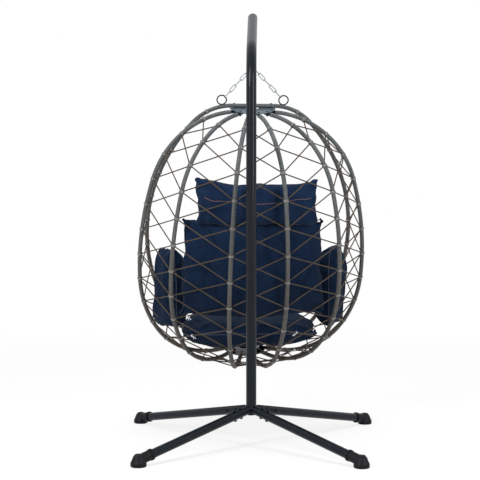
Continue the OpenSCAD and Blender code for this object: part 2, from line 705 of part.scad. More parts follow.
lower_post();
upper_post();
arm_cap();
hanging_eye();
leg(0);  // rear_leg_left
leg(1);  // rear_leg_right
leg(2);  // front_leg_left
leg(3);  // front_leg_right
foot(0);  // rear_foot_left
foot(1);  // rear_foot_right
foot(2);  // front_foot_left
foot(3);  // front_foot_right
leg_bolts();
spring_top_hook();
hanging_spring();
spring_end_plug();
swivel_eye();
lower_hook();
chain(-1);  // chain_left
chain(1);  // chain_right
hoop_ring(-1);  // ring_left
hoop_ring(1);  // ring_right
hoop();
hoop_wrap();
top_plate();
bottom_plate();
hoop_bolts();
rib_bolts(rib_z, 0);  // top_rib_bolts
rib_bolts(rib_foot_z, 1);  // bottom_rib_bolts
rib(0);  // rib_1
rib(1);  // rib_2
rib(2);  // rib_3
rib(3);  // rib_4
rib(4);  // rib_5
rib(5);  // rib_6
rib_wrap(0);  // rib_wrap_1
rib_wrap(1);  // rib_wrap_2
rib_wrap(2);  // rib_wrap_3
rib_wrap(3);  // rib_wrap_4
rib_wrap(4);  // rib_wrap_5
rib_wrap(5);  // rib_wrap_6
net(0);  // net_1
net(1);  // net_2
net(2);  // net_3
net(3);  // net_4
net(4);  // net_5
net(5);  // net_6
net(6);  // net_7
head_pillow();
back_cushion();
seat_cushion();
arm_bolster(-1);  // arm_bolster_left
arm_bolster(1);  // arm_bolster_right
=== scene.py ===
import bpy
from math import atan2, cos, exp, hypot, pi, radians, sin, sqrt
from mathutils import Matrix, Vector, noise
from mathutils.bvhtree import BVHTree


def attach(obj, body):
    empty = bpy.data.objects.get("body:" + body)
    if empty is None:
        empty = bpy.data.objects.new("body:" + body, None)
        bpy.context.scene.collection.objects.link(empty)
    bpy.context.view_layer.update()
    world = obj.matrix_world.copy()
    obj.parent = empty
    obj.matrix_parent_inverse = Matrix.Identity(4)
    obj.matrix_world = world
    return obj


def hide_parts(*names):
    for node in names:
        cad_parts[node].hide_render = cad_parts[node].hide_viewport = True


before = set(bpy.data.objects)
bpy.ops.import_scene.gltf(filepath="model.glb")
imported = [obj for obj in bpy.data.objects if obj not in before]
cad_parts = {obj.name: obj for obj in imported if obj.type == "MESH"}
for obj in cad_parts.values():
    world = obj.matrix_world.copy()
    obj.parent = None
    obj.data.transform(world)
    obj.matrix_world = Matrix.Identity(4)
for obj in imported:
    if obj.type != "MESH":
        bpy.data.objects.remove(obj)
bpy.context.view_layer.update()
scene = bpy.context.scene

# ---- places, in metres ----
POST_Y = -0.214
HOOK_Y = POST_Y + 0.460
HOOP_TOP = 1.5125
LEAN = radians(19.8)
YAW = radians(6.2)

TUBE_R = 0.008
WRAP_R = 0.0103
ROPE_R = 0.0029
BOLT_CIRCLE = 0.092
WRAP_START = 0.022
WICKER_PITCH = 0.0078
WICKER_RISE = (0.0011, 0.0021, 0.0023, 0.0021)     # a strip's height over the tube, across its width
STRIP_TAPER = 0.003
SKIN_GAP = 0.0001
RIB_LEAD = 0.029
RIB_END = 0.014
RIB_Z = -0.0193
RIB_ARCS = [(0.3985, radians(71.98)), (1.387, radians(20.53)), (0.567, radians(30.87)),
            (0.391, radians(56.62))]
RIB_ANGLES = [radians(a) for a in (-68.8, -43.15, -13.2, 13.2, 43.15, 68.8)]
HOOP_HALF = 0.4926
HOOP_CROWN = radians(47.4)
HOOP_SIDE = (0.822, radians(81.3))
HOOP_BASE = (0.314, radians(51.3))
HOOP_BARE = 0.120

KNOTS = 13                      # crossings on a rib; the hoop has one less
RIB_KNOTS = (0.160, 0.1245)     # the first knot's place along a member, and the step
HOOP_KNOTS = (0.218, 0.1255)
HOOP_SIDES = (0, 7)             # the members that are the hoop's left and right half

TO_BASKET = Matrix.Translation((0, HOOK_Y, HOOP_TOP)) @ Matrix.Rotation(YAW, 4, "Z")
TO_HOOP = TO_BASKET @ Matrix.Rotation(LEAN, 4, "X")


# ---- outlines of the ribs and the hoop: runs of length, radius, outward place, height, heading ----
def run_end(run, s=None):
    length, radius, rho, z, head = run
    s = length if s is None else s
    if radius == 0:
        return rho + s * cos(head), z - s * sin(head), head
    turned = head + s / radius
    return rho + radius * (sin(turned) - sin(head)), z - radius * (cos(head) - cos(turned)), turned


def outline(start, lead, arcs, tail):
    runs = [(lead, 0) + start]
    for radius, angle in arcs:
        runs.append((radius * angle, radius) + run_end(runs[-1]))
    end = run_end(runs[-1])
    runs.append((tail(end[0]), 0) + end)
    return runs


def along(runs, s):
    for run in runs[:-1]:
        if s <= run[0]:
            return run_end(run, s)
        s -= run[0]
    return run_end(runs[-1], s)


def length_of(runs):
    return sum(run[0] for run in runs)


RIB = outline((BOLT_CIRCLE - RIB_END, RIB_Z, 0.0), RIB_END + RIB_LEAD, RIB_ARCS,
              lambda rho: rho - BOLT_CIRCLE + RIB_END)
FOOT_Z = run_end(RIB[-2])[1] + RIB_Z
side_drop = HOOP_SIDE[0] * (cos(HOOP_CROWN) - cos(HOOP_CROWN + HOOP_SIDE[1]))
base_drop = HOOP_BASE[0] * (cos(HOOP_CROWN + HOOP_SIDE[1]) + 1)
CROWN_R = (-FOOT_Z - side_drop - base_drop) / (1 - cos(HOOP_CROWN))
TOP_RUN = HOOP_HALF - CROWN_R * sin(HOOP_CROWN) - HOOP_SIDE[0] * (1 - sin(HOOP_CROWN))
HALF_HOOP = outline((0.0, 0.0, 0.0), TOP_RUN, [(CROWN_R, HOOP_CROWN), HOOP_SIDE, HOOP_BASE], lambda rho: rho)
MEMBER_ANGLES = [-pi / 2] + RIB_ANGLES + [pi / 2]


def member_point(member, s):
    """Place, tangent and outward direction on a member, s from its bolt or from the hoop's top."""
    hoop = member in HOOP_SIDES
    rho, z, head = along(HALF_HOOP, s) if hoop else along(RIB, s + RIB_END)
    out = Vector((sin(MEMBER_ANGLES[member]), -cos(MEMBER_ANGLES[member]), 0))
    up = Vector((0, 0, 1))
    return out * rho + up * z, out * cos(head) - up * sin(head), out * sin(head) + up * cos(head)


def knot_place(member, k):
    first, step = HOOP_KNOTS if member in HOOP_SIDES else RIB_KNOTS
    return member_point(member, first + step * k)


# ---- shader maths ----
class Shade:
    """A socket of a material's node tree that can be added, multiplied and passed on."""

    def __init__(self, tree, socket):
        self.tree, self.socket = tree, socket

    def node(self, kind, output=0, inputs=None, **settings):
        made = self.tree.nodes.new(kind)
        for key, value in settings.items():
            setattr(made, key, value)
        for key, value in (inputs or {}).items():
            if isinstance(value, Shade):
                self.tree.links.new(value.socket, made.inputs[key])
            else:
                made.inputs[key].default_value = value
        return Shade(self.tree, made.outputs[output])

    def maths(self, operation, a, b=0.0):
        return self.node("ShaderNodeMath", 0, {0: a, 1: b}, operation=operation)

    def __add__(self, other):
        return self.maths("ADD", self, other)

    __radd__ = __add__

    def __mul__(self, other):
        return self.maths("MULTIPLY", self, other)

    __rmul__ = __mul__

    def __sub__(self, other):
        return self.maths("SUBTRACT", self, other)

    def __rsub__(self, other):
        return self.maths("SUBTRACT", other, self)

    def wave(self):
        return self.maths("SINE", self)

    def ramp(self, low, high, to_low=0.0, to_high=1.0):
        return self.node("ShaderNodeMapRange", 0, {0: self, 1: low, 2: high, 3: to_low, 4: to_high})

    def blend(self, first, second):
        mix = self.tree.nodes.new("ShaderNodeMix")
        mix.data_type = "RGBA"
        self.tree.links.new(self.socket, mix.inputs[0])
        for place, value in ((6, first), (7, second)):
            if isinstance(value, Shade):
                self.tree.links.new(value.socket, mix.inputs[place])
            else:
                mix.inputs[place].default_value = value
        return Shade(self.tree, mix.outputs[2])

    def noise(self, scale, detail=3.0, roughness=0.55, stretch=(1, 1, 1)):
        spread = self.node("ShaderNodeMapping", 0, {0: self, 3: stretch})
        return self.node("ShaderNodeTexNoise", 0, {"Vector": spread, "Scale": scale, "Detail": detail,
                                                   "Roughness": roughness})

    def axis(self, name):
        return self.node("ShaderNodeSeparateXYZ", "XYZ".index(name), {0: self})


def tone(red, green, blue):
    """A colour as it is seen on a screen, 0 to 255, made linear."""
    def linear(c):
        c /= 255.0
        return c / 12.92 if c <= 0.04045 else ((c + 0.055) / 1.055) ** 2.4
    return linear(red), linear(green), linear(blue), 1.0


def finish(name, paint, **constants):
    """A material whose Principled sockets are constants or come from paint(object place, uv)."""
    material = bpy.data.materials.new(name)
    material.use_nodes = True
    tree = material.node_tree
    shader = tree.nodes["Principled BSDF"]
    for key, value in constants.items():
        shader.inputs[key.replace("_", " ")].default_value = value
    coordinates = tree.nodes.new("ShaderNodeTexCoord")
    place, uv = Shade(tree, coordinates.outputs["Object"]), Shade(tree, coordinates.outputs["UV"])
    for key, value in paint(place, uv).items():
        if key == "height":
            key = "Normal"
            value = place.node("ShaderNodeBump", 0, dict(zip(("Height", "Strength", "Distance"), value)))
        tree.links.new(value.socket, shader.inputs[key])
    return material


def powder_coat(place, uv):
    patches = place.noise(9.0)
    grain = place.noise(900.0, 2.0)
    dust = place.noise(42.0, 5.0, 0.7, (1, 1, 0.25)).ramp(0.52, 0.75)
    return {"Base Color": (dust * 0.35 + patches * 0.25).blend(tone(4, 9, 15), tone(28, 41, 56)),
            "Roughness": patches * 0.14 + grain * 0.08 + 0.2,
            "height": (grain * 0.6 + place.noise(260.0, 2.0) * 0.4, 0.04, 0.0002)}


def moulded(place, uv):
    grain = place.noise(1400.0, 2.0)
    scuffs = place.noise(70.0, 4.0, 0.6, (1, 1, 3)).ramp(0.58, 0.75)
    return {"Base Color": scuffs.blend(tone(14, 15, 18), tone(44, 45, 49)),
            "Roughness": grain * 0.15 + scuffs * 0.12 + 0.42,
            "height": (grain, 0.35, 0.0004)}


def galvanised(place, uv):
    cells = place.node("ShaderNodeTexVoronoi", "Color", {"Vector": place, "Scale": 260.0})
    cell = cells.node("ShaderNodeSeparateColor", 0, {0: cells})
    stain = place.noise(55.0, 5.0, 0.65).ramp(0.5, 0.78)
    return {"Base Color": (stain * 0.6 + cell * 0.25).blend(tone(160, 167, 169), tone(92, 96, 97)),
            "Roughness": cell * 0.12 + stain * 0.25 + 0.24,
            "height": (place.noise(800.0, 2.0) + stain * 0.5, 0.18, 0.0004)}


def plate_paint(place, uv):
    patches = place.noise(24.0, 4.0)
    scratch = place.noise(110.0, 4.0, 0.6, (1, 14, 1)).ramp(0.62, 0.7)
    return {"Base Color": (scratch * 0.5 + patches * 0.3).blend(tone(58, 70, 80), tone(112, 124, 132)),
            "Roughness": patches * 0.2 + 0.3,
            "height": (place.noise(700.0, 2.0) - scratch * 0.4, 0.2, 0.0005)}


def wicker(place, uv):
    """Flat strip, u across it and v along it, with drawn lines, and browner near the floor."""
    across = uv.axis("X")
    lines = (across * 62.0 + place.noise(40.0) * 3.0).wave() * 0.5 + 0.5
    streak = uv.noise(3.0, 4.0, 0.6, (9.0, 0.7, 1))
    each_turn = uv.noise(1.0, 1.0, 0.5, (0.0, 1.7, 1))
    low = place.axis("Z").ramp(0.55, 1.25, 1.0, 0.0)
    grey = (streak * 0.8 + each_turn * 0.5 - 0.25).blend(tone(50, 54, 57), tone(122, 126, 127))
    brown = (streak * 0.8 + each_turn * 0.5 - 0.25).blend(tone(54, 49, 44), tone(112, 106, 98))
    # Painted shade: the colour darkens towards each strip's edges, in the groove between turns; the same mask
    # also sinks the groove in the bump.
    groove = (across - 0.5).maths("ABSOLUTE", across - 0.5).ramp(0.3, 0.5)
    worn = (low * 0.75).blend(grey, brown)
    return {"Base Color": (groove * 0.72).blend(worn, tone(40, 42, 45)),
            "Roughness": streak * 0.22 + 0.36,
            "height": (lines * 0.35 + streak * 0.65 - groove * 0.6, 0.45, 0.0005)}


def rope_skin(place, uv):
    """Round plastic rope: u round it, v along it in metres; drawn lines turn slowly about it."""
    strand = ((uv.axis("X") * 5.0 + uv.axis("Y") * 75.0) * (2 * pi)).wave() * 0.5 + 0.5
    streak = place.noise(150.0, 4.0, 0.6)
    patches = place.noise(14.0)
    light = (strand * 0.35 + streak * 0.4 + patches * 0.3).blend(tone(30, 25, 20), tone(92, 79, 65))
    return {"Base Color": light, "Roughness": streak * 0.2 + 0.42,
            "height": (strand * 0.7 + streak * 0.3, 0.5, 0.0005)}


def lashing_skin(place, uv):
    streak = place.noise(420.0, 4.0, 0.6)
    patches = place.noise(33.0)
    return {"Base Color": (streak * 0.6 + patches * 0.35).blend(tone(56, 55, 53), tone(160, 159, 154)),
            "Roughness": streak * 0.2 + 0.34, "height": (streak, 0.4, 0.0004)}


def cotton(length_axis):
    """Plain weave, its threads along X and along the axis given: Z on an upright piece, Y on a flat one."""
    def paint(place, uv):
        across, lengthwise = place.axis("X"), place.axis(length_axis)
        wobble = place.noise(60.0, 2.0) * 2.2
        warp = (across * 2900.0 + wobble).wave()
        weft = (lengthwise * 2900.0 + wobble).wave()
        weave = warp * weft * 0.5 + 0.5
        slub = (place.noise(190.0, 3.0, 0.6, (1, 1, 6)) + place.noise(190.0, 3.0, 0.6, (6, 1, 1))) * 0.5
        faded = place.noise(5.0, 4.0, 0.6)
        crease = place.noise(17.0, 3.0, 0.6, (1.0, 1.0, 1.8))
        # Painted light and shade by height: the cloth is painted lighter up high and darker low down, as
        # light from above would fall.
        painted_top_light = place.axis("Z").ramp(0.65, 1.15, -0.12, 0.22)
        light = weave * 0.22 + slub * 0.45 + faded * 0.5 + painted_top_light - 0.12
        return {"Base Color": light.blend(tone(4, 12, 22), tone(31, 51, 82)), "Roughness": slub * 0.15 + 0.72,
                "height": (weave * 0.06 + slub * 0.14 + crease * 1.2, 0.8, 0.010)}
    return paint


def piping_cloth(place, uv):
    turn = ((uv.axis("X") * 2.0 + uv.axis("Y") * 260.0) * (2 * pi)).wave() * 0.5 + 0.5
    grain = place.noise(320.0, 3.0)
    return {"Base Color": (turn * 0.3 + grain * 0.5).blend(tone(7, 14, 27), tone(34, 50, 78)),
            "Roughness": grain * 0.15 + 0.68, "height": (turn * 0.5 + grain * 0.5, 0.4, 0.0005)}


def strap_cloth(place, uv):
    rib = (uv.axis("Y") * 3600.0).wave() * 0.5 + 0.5
    grain = place.noise(300.0, 3.0)
    return {"Base Color": (rib * 0.3 + grain * 0.5).blend(tone(72, 48, 47), tone(131, 98, 92)),
            "Roughness": grain * 0.2 + 0.6, "height": (rib, 0.4, 0.0004)}


def white_tape(place, uv):
    rib = (place.axis("Z") * 4200.0).wave() * 0.5 + 0.5
    grain = place.noise(400.0, 3.0)
    return {"Base Color": (rib * 0.3 + grain * 0.4).blend(tone(190, 193, 196), tone(236, 238, 240)),
            "Roughness": grain * 0.2 + 0.6, "height": (rib * 0.6 + grain * 0.4, 0.4, 0.0004)}


BLACK = finish("stand_powder_coat", powder_coat, Specular_IOR_Level=0.12, Coat_Weight=0.15,
               Coat_Roughness=0.14)
CAP = finish("moulded_black_cap", moulded, Specular_IOR_Level=0.15)
ZINC = finish("zinc_plated_steel", galvanised, Metallic=0.85)
PLATE = finish("plate_grey_paint", plate_paint, Metallic=0.2)
WICKER = finish("grey_wicker_strip", wicker, Specular_IOR_Level=0.22, Coat_Weight=0.05, Coat_Roughness=0.3)
ROPE = finish("round_rattan_rope", rope_skin, Specular_IOR_Level=0.2)
LASHING = finish("grey_lashing", lashing_skin)
COTTON = finish("navy_cotton_upright", cotton("Z"), Sheen_Weight=0.02, Sheen_Roughness=0.5,
                Specular_IOR_Level=0.04)
COTTON_FLAT = finish("navy_cotton_flat", cotton("Y"), Sheen_Weight=0.02, Sheen_Roughness=0.5,
                     Specular_IOR_Level=0.04)
PIPING = finish("navy_piping", piping_cloth, Sheen_Weight=0.1)
STRAP = finish("brown_binding", strap_cloth)
TAPE = finish("white_cotton_tape", white_tape)


def clothe(obj, material):
    obj.data.materials.clear()
    obj.data.materials.append(material)


for name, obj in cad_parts.items():
    if name == "arm_cap" or "_foot_" in name:
        clothe(obj, CAP)
    elif name.endswith(("_plate", "rib_bolts", "hoop_bolts")):
        clothe(obj, PLATE)
    elif name.startswith(("spring", "hanging_spring", "swivel", "lower_hook", "chain")):
        clothe(obj, ZINC)
    elif not name.startswith(("net", "head", "back", "seat", "arm_bolster")):
        clothe(obj, BLACK)


# ---- making pieces ----
def mesh_piece(name, points, faces, material, uvs=None, smooth=True):
    mesh = bpy.data.meshes.new(name)
    mesh.from_pydata([tuple(p) for p in points], [], faces)
    if uvs:
        layer = mesh.uv_layers.new(name="UVMap")
        for loop, uv in zip(layer.data, uvs):
            loop.uv = uv
    mesh.materials.append(material)
    obj = bpy.data.objects.new(name, mesh)
    scene.collection.objects.link(obj)
    for polygon in mesh.polygons:
        polygon.use_smooth = smooth
    return obj


def pick(obj, *others):
    bpy.ops.object.select_all(action="DESELECT")
    for one in (obj,) + others:
        one.select_set(True)
    bpy.context.view_layer.objects.active = obj


def wound_sleeve(name, place, total):
    """A flat strip wound along a member: one helical skin with a groove between turns."""
    sides, rows = 10, len(WICKER_RISE)
    turns = int(total / WICKER_PITCH)
    pitch = total / turns
    points, faces, uvs = [], [], []
    count = turns * sides + 1
    for n in range(count + sides):
        angle = 2 * pi * n / sides
        for j in range(rows):
            s = min(max(pitch * (n / sides - 1 + j / rows), 0.0), total)
            centre, tangent, out = place(s)
            across = tangent.cross(out)
            end = max(min(s / STRIP_TAPER, (total - s) / STRIP_TAPER, 1.0), 0.0)
            radius = TUBE_R + SKIN_GAP + WICKER_RISE[j] * sqrt(end)
            points.append(centre + (out * cos(angle) + across * sin(angle)) * radius)
    for n in range(count + sides - 1):
        for j in range(rows):
            a, b = n * rows + j, (n + 1) * rows + j
            if j < rows - 1:
                c, d = b + 1, a + 1
            else:
                c, d = (n + 1 + sides) * rows, (n + sides) * rows
            if max(c, d) >= len(points):
                continue
            faces.append((a, b, c, d))
            near, far = j / rows, (j + 1) / rows
            low, high = n / sides, (n + 1) / sides
            uvs += [(near, low), (near, high), (far, high), (far, low)]
    return mesh_piece(name, [TO_HOOP @ p for p in points], faces, WICKER, uvs)


def strip_uvs(k, sides, start, step):
    """One side's face of a round cord: u round it, v along it in metres."""
    near, far = k / sides, (k + 1) / sides
    return [(near, start), (far, start), (far, start + step), (near, start + step)]


def tube_along(path, radius, sides, points, faces, uvs, start=0.0):
    """Adds a round rope along a path of points to the lists of a mesh, closed at both ends.

    It gives back how far along the rope its end lies.
    """
    base = len(points)
    normal = None
    travelled = start
    for i, p in enumerate(path):
        heading = (path[min(i + 1, len(path) - 1)] - path[max(i - 1, 0)]).normalized()
        if normal is None:
            normal = heading.orthogonal().normalized()
        normal = (normal - heading * normal.dot(heading)).normalized()
        side = heading.cross(normal)
        for k in range(sides):
            a = 2 * pi * k / sides
            points.append(p + (normal * cos(a) + side * sin(a)) * radius)
        if i:
            step = (p - path[i - 1]).length
            for k in range(sides):
                low, high = base + (i - 1) * sides, base + i * sides
                faces.append((low + k, low + (k + 1) % sides, high + (k + 1) % sides, high + k))
                uvs += strip_uvs(k, sides, travelled, step)
            travelled += step
    last = base + (len(path) - 1) * sides
    faces.append(tuple(base + k for k in reversed(range(sides))))
    uvs += [(0.0, start)] * sides
    faces.append(tuple(last + k for k in range(sides)))
    uvs += [(0.0, travelled)] * sides
    return travelled


# ---- wicker on the ribs and the hoop ----
RIB_L = length_of(RIB) - 2 * RIB_END
for i in range(6):
    sleeve = wound_sleeve("wound_wicker_rib_%d" % (i + 1),
                          lambda s, m=i + 1: member_point(m, WRAP_START + s), RIB_L - 2 * WRAP_START)
    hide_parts("rib_wrap_%d" % (i + 1))
    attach(sleeve, "basket")


HALF_L = length_of(HALF_HOOP)
for member, side in ((0, "left"), (7, "right")):
    sleeve = wound_sleeve("wound_wicker_hoop_" + side, lambda s, m=member: member_point(m, s),
                          HALF_L - HOOP_BARE)
    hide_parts("hoop_wrap")
    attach(sleeve, "basket")


# ---- the net: ropes from knot to knot, one family outside the other ----
def rope_path(member, k0, k1):
    rise = (1 if k1 > k0 else -1) * ROPE_R
    a_place, _, a_out = knot_place(member, k0)
    b_place, _, b_out = knot_place(member + 1, k1)
    a, b = a_place + a_out * rise, b_place + b_out * rise
    steps = 6
    bow = 0.0012 * (1 if k1 > k0 else -1)
    out = (a_out + b_out).normalized()
    return [TO_HOOP @ (a.lerp(b, t / steps) + out * bow * sin(pi * t / steps)) for t in range(steps + 1)]


for m in range(7):
    points, faces, uvs = [], [], []
    travelled = 0.0
    for k in range(KNOTS - (2 if m in (0, 6) else 1)):
        for pair in ((k, k + 1), (k + 1, k)):
            travelled = tube_along(rope_path(m, *pair), ROPE_R, 8, points, faces, uvs, travelled % 1.0)
    net = mesh_piece("laced_rope_%d" % (m + 1), points, faces, ROPE, uvs)
    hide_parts("net_%d" % (m + 1))
    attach(net, "basket")


# ---- lashings where the ropes turn round a member ----
LASHING_R = 0.0016
# tilt in degrees, radius and height of each turn: two crossed over two level ones
LASHING_TURNS = ((12, WRAP_R + 0.0014, 0.0), (-12, WRAP_R + 0.0014, 0.0),
                 (0, WRAP_R + 0.0006, 0.0036), (0, WRAP_R + 0.0006, -0.0036))


def model_lashing():
    """Four turns of cord round a member that runs along Z."""
    turns = []
    for tilt, radius, up in LASHING_TURNS:
        bpy.ops.mesh.primitive_torus_add(major_segments=16, minor_segments=6, major_radius=radius,
                                         minor_radius=LASHING_R, location=(0, 0, up),
                                         rotation=(radians(tilt), 0, 0))
        turns.append(bpy.context.object)
    pick(*turns)
    bpy.ops.object.join()
    lashing = bpy.context.object
    bpy.ops.object.transform_apply(location=True, rotation=True, scale=True)
    bpy.ops.object.shade_smooth()
    clothe(lashing, LASHING)
    return lashing


pattern = model_lashing()
for member in range(8):
    copies = []
    for k in range(KNOTS if member not in HOOP_SIDES else KNOTS - 1):
        centre, tangent, out = knot_place(member, k)
        turn = Matrix((out.cross(tangent), -out, tangent)).transposed().to_4x4()
        copy = bpy.data.objects.new("lashing", pattern.data.copy())
        scene.collection.objects.link(copy)
        copy.data.transform(TO_HOOP @ Matrix.Translation(centre) @ turn)
        copies.append(copy)
    pick(*copies)
    bpy.ops.object.join()
    lashings = bpy.context.object
    lashings.name = "lashings_%d" % (member + 1)
    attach(lashings, "basket")
bpy.data.objects.remove(pattern, do_unlink=True)


# ---- white tapes that tie the cushions to the frame ----
# bay, the knots at the rope's two ends and the tie's share of the way between them
TIES = ((2, 8, 7, 0.25), (2, 9, 8, 0.25), (4, 9, 8, 0.65), (4, 8, 9, 0.3), (4, 9, 10, 0.45))
TAPE_W = 0.005
TAPE_THICK = 0.0009
# each fall of a tape's end: outward, forward and down
TAPE_FALLS = ((0.0005, 0.0010, 0.004), (0.001, 0.0008, 0.005), (0.002, -0.001, 0.004))


def model_tie():
    """A band of tape round a rope that runs along X, with two short ends that hang down."""
    bpy.ops.mesh.primitive_torus_add(major_segments=20, minor_segments=8, major_radius=ROPE_R + 0.0018,
                                     minor_radius=0.0013, rotation=(0, radians(90), 0))
    parts = [bpy.context.object]
    bpy.ops.transform.resize(value=(2.8, 1, 1))
    for side in (-1, 1):
        bpy.ops.mesh.primitive_plane_add(size=TAPE_W, rotation=(radians(90), 0, 0),
                                         location=(side * 0.003, 0.0005 * side, -ROPE_R - 0.0050))
        bpy.ops.object.transform_apply(location=True, rotation=True, scale=True)
        tape = bpy.context.object
        parts.append(tape)
        for x, y, z in TAPE_FALLS:
            low = min(v.co.z for v in tape.data.vertices)
            for vertex in tape.data.vertices:
                vertex.select = vertex.co.z < low + 0.0001
            for edge in tape.data.edges:
                edge.select = all(tape.data.vertices[v].select for v in edge.vertices)
            for face in tape.data.polygons:
                face.select = False
            bpy.ops.object.mode_set(mode="EDIT")
            bpy.ops.mesh.select_mode(type="EDGE")
            bpy.ops.mesh.extrude_region_move(TRANSFORM_OT_translate={"value": (side * x, y, -z)})
            bpy.ops.object.mode_set(mode="OBJECT")
        wall = tape.modifiers.new("wall", "SOLIDIFY")
        wall.thickness = TAPE_THICK
        pick(tape)
        bpy.ops.object.modifier_apply(modifier="wall")
    pick(*parts)
    bpy.ops.object.join()
    tie = bpy.context.object
    bpy.ops.object.transform_apply(location=True, rotation=True, scale=True)
    bpy.ops.object.shade_smooth_by_angle(angle=radians(40))
    clothe(tie, TAPE)
    return tie


tie = model_tie()
for number, (m, k0, k1, t) in enumerate(TIES, 1):
    a_place, _, a_out = knot_place(m, k0)
    b_place, _, b_out = knot_place(m + 1, k1)
    rise = (1 if k1 > k0 else -1) * ROPE_R
    heading, inward = (b_place - a_place).normalized(), -(a_out + b_out).normalized()
    if heading.cross(inward).z < 0:
        heading = -heading
    inward = (inward - heading * inward.dot(heading)).normalized()
    turn = Matrix((heading, inward, heading.cross(inward))).transposed().to_4x4()
    centre = a_place.lerp(b_place, t) - inward * rise
    copy = bpy.data.objects.new("cushion_tie_%d" % number, tie.data.copy())
    scene.collection.objects.link(copy)
    copy.data.transform(TO_HOOP @ Matrix.Translation(centre) @ turn)
    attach(copy, "basket")
bpy.data.objects.remove(tie, do_unlink=True)


# ---- cushions ----
CASE_CELLS = 28         # cells of a case's cloth along each way
CLOTH_CELL = 0.006
PRESSURE = 4.0
SWELL_STEPS = 20
MOST_SWELL = 0.024
PIPING_R = 0.0026
BINDING_R = 0.0016


def puff(u, v):
    return sqrt(max(0.0, (1 - u ** 4) * (1 - v ** 4)))


def case_point(u, v, side, size, draw, disc, curl):
    """A place on a case from -1 to 1 across and up, on its front, its back or between them at its seam."""
    width, height, thick = size
    x = u * width / 2 * (1 - draw * (1 - v * v)) * sqrt(1 - disc * v * v / 2)
    z = v * height / 2 * (1 - draw * (1 - u * u)) * sqrt(1 - disc * u * u / 2)
    y = side * thick / 2 * (0.06 + 0.94 * puff(u, v))
    if not curl:
        return Vector((x, y, z))
    r = curl - y
    return Vector((r * sin(x / curl), curl - r * cos(x / curl), z))


def case_mesh(name, size, shape):
    """Front and back of a case, sewn together round the edge."""
    n, m = CASE_CELLS, CASE_CELLS + 1
    points, faces = [], []
    for side in (1, -1):
        for j in range(m):
            for i in range(m):
                u, v = sin(pi / 2 * (2 * i / n - 1)), sin(pi / 2 * (2 * j / n - 1))
                points.append(case_point(u, v, side, size, *shape))
    for j in range(n):
        for i in range(n):
            a = j * m + i
            faces.append((a, a + 1, a + m + 1, a + m))
            faces.append((a + m * m, a + m + m * m, a + m + 1 + m * m, a + 1 + m * m))
    foot, head = list(range(n)), [n * m + i for i in range(n, 0, -1)]
    right, left = [j * m + n for j in range(n)], [j * m for j in range(n, 0, -1)]
    edge = foot + right + head + left
    for a, b in zip(edge, edge[1:] + edge[:1]):
        faces.append((a, a + m * m, b + m * m, b))
    return mesh_piece(name, points, faces, COTTON)


def swell(pad):
    """Blows the case up as cloth under pressure, no further than MOST_SWELL."""
    rest = [v.co.copy() for v in pad.data.vertices]
    cloth = pad.modifiers.new("swell", "CLOTH")
    cloth.settings.effector_weights.gravity = 0.0
    cloth.settings.use_pressure = True
    cloth.settings.uniform_pressure_force = PRESSURE
    cloth.settings.quality = 4
    cloth.settings.mass = 0.25
    cloth.settings.tension_stiffness = 18.0
    cloth.settings.compression_stiffness = 6.0
    cloth.settings.bending_stiffness = 0.35
    cloth.collision_settings.use_collision = False
    scene.frame_start, scene.frame_end = 1, SWELL_STEPS
    for step in range(1, SWELL_STEPS + 1):
        scene.frame_set(step)
    swollen = pad.evaluated_get(bpy.context.evaluated_depsgraph_get()).to_mesh()
    moved = [v.co.copy() for v in swollen.vertices]
    scene.frame_set(1)
    pad.modifiers.remove(cloth)
    for vertex, was, now in zip(pad.data.vertices, rest, moved):
        shift = now - was
        reach = shift.length
        held = MOST_SWELL * (1 - exp(-reach / MOST_SWELL)) / reach if reach > 1e-9 else 0.0
        vertex.co = was + shift * held


def stuffed_case(name, size, shape):
    """A sewn case on the CAD solid's form: drawn smaller, swollen by pressure, then finished finer."""
    pad = case_mesh(name, (size[0] * 0.97, size[1] * 0.97, size[2] * 0.72), shape)
    pick(pad)
    pad.data.remesh_voxel_size = CLOTH_CELL
    bpy.ops.object.voxel_remesh()
    swell(pad)
    fine = pad.modifiers.new("finer", "SUBSURF")
    fine.levels = fine.render_levels = 1
    bpy.ops.object.modifier_apply(modifier="finer")
    return pad


def head_form(p, u, v):
    """The head pillow hangs over the back's upper edge."""
    hang = (0.022 + 0.030 * (1 - u * u)) * max(0.0, -v) ** 2
    return Vector((p.x * (1 + 0.05 * (1 - v * v)), p.y, p.z - hang))


def back_form(p, u, v):
    """The back's upper edge runs straight, and its foot reaches down and out to the seat."""
    up, down, middle = max(0.0, v) ** 2, max(0.0, -v) ** 2, 1 - u * u
    wide = 1 + 0.055 * (1 - v * v) + 0.05 * down
    return Vector((p.x * wide, p.y + 0.02 * down, p.z + 0.026 * middle * up - (0.032 + 0.03 * middle) * down))


def seat_form(p, u, v):
    """Its rear edge is fuller and turns up behind the sitter."""
    rear = max(0.0, v) ** 2
    return Vector((p.x * (1.05 + 0.2 * rear), p.y + 0.042 * rear, p.z * 1.03))


def bolster_form(p, u, v):
    """Pointed at the top and fuller inward at the foot."""
    up, low = max(0.0, v), 0.5 - 0.5 * max(-1.0, min(1.0, v))
    inward = max(0.0, p.y) * (0.35 + 0.75 * low)
    return Vector((p.x * (1 - 0.42 * up * up), p.y + inward, p.z + 0.03 * up - 0.038 * low))


